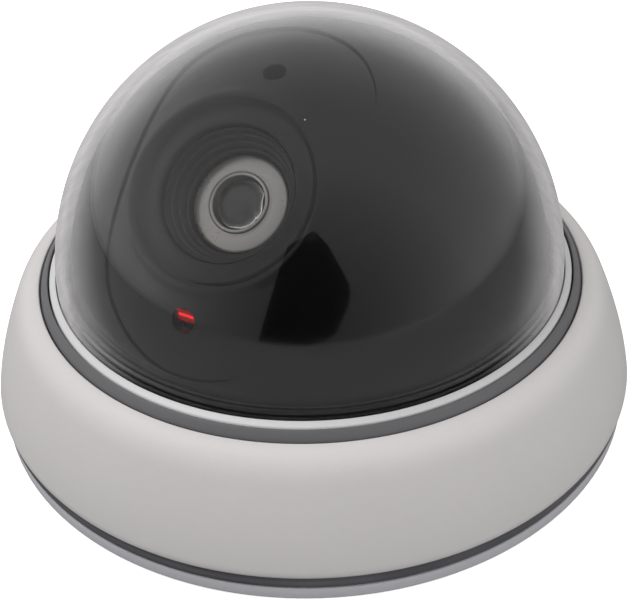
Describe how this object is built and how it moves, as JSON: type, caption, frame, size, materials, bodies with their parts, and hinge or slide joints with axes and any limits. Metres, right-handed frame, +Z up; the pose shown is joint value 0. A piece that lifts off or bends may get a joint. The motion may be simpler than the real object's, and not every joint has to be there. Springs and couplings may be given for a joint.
{
  "type": "dome camera",
  "caption": "Ceiling dome camera: round base, lift-off cover with clear dome, black liner, and a lens head that pans and tilts beneath it.",
  "frame": {"origin": "centre of the flat underside of the base", "axes": "+Z up through the dome's top; -Y towards the front; the lens looks up and 29.7 degrees from -Y towards -X at rest"},
  "size_m": [0.1232, 0.1232, 0.0769],
  "materials": {
    "housing_grey": "fine satin moulded plastic",
    "base_grey": "satin moulded plastic",
    "seal_grey": "matt rubber",
    "trim_grey": "satin moulded plastic",
    "collar_white": "satin moulded plastic",
    "clear_dome": "polished clear acrylic",
    "gloss_black": "polished black moulded plastic",
    "matt_black": "fine matt black plastic",
    "reflector_silver": "satin metallised plastic",
    "lens_clear": "polished clear acrylic",
    "led_red": "tinted clear epoxy",
    "steel": "zinc-plated steel",
    "board_green": "solder mask on glass-fibre board",
    "resistor_tan": "lacquered ceramic",
    "capacitor_sleeve": "shrink sleeve",
    "cell_wrap": "printed film sleeve without text",
    "wire_red": "PVC insulation",
    "wire_black": "PVC insulation",
    "switch_white": "nylon"
  },
  "bodies": {
    "base": {"base_plate": "base_grey", "lower_gasket": "seal_grey", "turntable_clip_1": "matt_black", "turntable_clip_2": "matt_black", "turntable_clip_3": "matt_black", "clip_screw_1": "steel", "clip_screw_2": "steel", "clip_screw_3": "steel", "battery_tray": "matt_black", "tray_screw_1": "steel", "tray_screw_2": "steel", "battery_1": "cell_wrap", "battery_2": "cell_wrap", "contact_spring_1": "steel", "contact_spring_2": "steel", "bridge_contact": "steel", "negative_contact": "steel", "positive_contact": "steel", "battery_lead_red": "wire_red", "battery_lead_black": "wire_black", "door_hinge_pin": "steel", "switch_body": "matt_black"},
    "door": {"battery_door": "base_grey"},
    "switch": {"switch_knob": "switch_white"},
    "cover": {"housing": "housing_grey", "upper_trim_ring": "trim_grey", "dome_collar": "collar_white", "clear_dome": "clear_dome"},
    "pan_unit": {"turntable": "matt_black", "inner_liner": "gloss_black", "yoke_arm_left": "matt_black", "yoke_arm_right": "matt_black", "yoke_screw_1": "steel", "yoke_screw_2": "steel", "yoke_screw_3": "steel", "yoke_screw_4": "steel", "tilt_screw_left": "steel", "tilt_screw_right": "steel"},
    "lens_head": {"lens_carrier": "gloss_black", "lens_funnel": "matt_black", "reflector_ring": "reflector_silver", "lens_bead": "lens_clear", "indicator_led": "led_red", "flasher_board": "board_green", "board_screw_1": "steel", "board_screw_2": "steel", "flasher_chip": "matt_black", "timing_capacitor": "capacitor_sleeve", "resistor": "resistor_tan", "board_lead_red": "wire_red", "board_lead_black": "wire_black"}
  },
  "joints": [
    {"name": "cover_lift", "type": "slide", "parent": "base", "child": "cover", "axis": [0, 0, 1], "range_m": [0, 0.08]},
    {"name": "pan", "type": "hinge", "parent": "base", "child": "pan_unit", "pos_m": [0, 0, 0.0037], "axis": [0, 0, 1], "range_deg": [-175, 175]},
    {"name": "tilt", "type": "hinge", "parent": "pan_unit", "child": "lens_head", "pos_m": [0, 0, 0.029], "axis": [0.8686, -0.4955, 0], "range_deg": [-17, 17]},
    {"name": "battery_door_hinge", "type": "hinge", "parent": "base", "child": "door", "pos_m": [0, 0.0132, 0.0012], "axis": [1, 0, 0], "range_deg": [0, 100]},
    {"name": "power_switch", "type": "slide", "parent": "base", "child": "switch", "axis": [1, 0, 0], "range_m": [0, 0.003]}
  ]
}
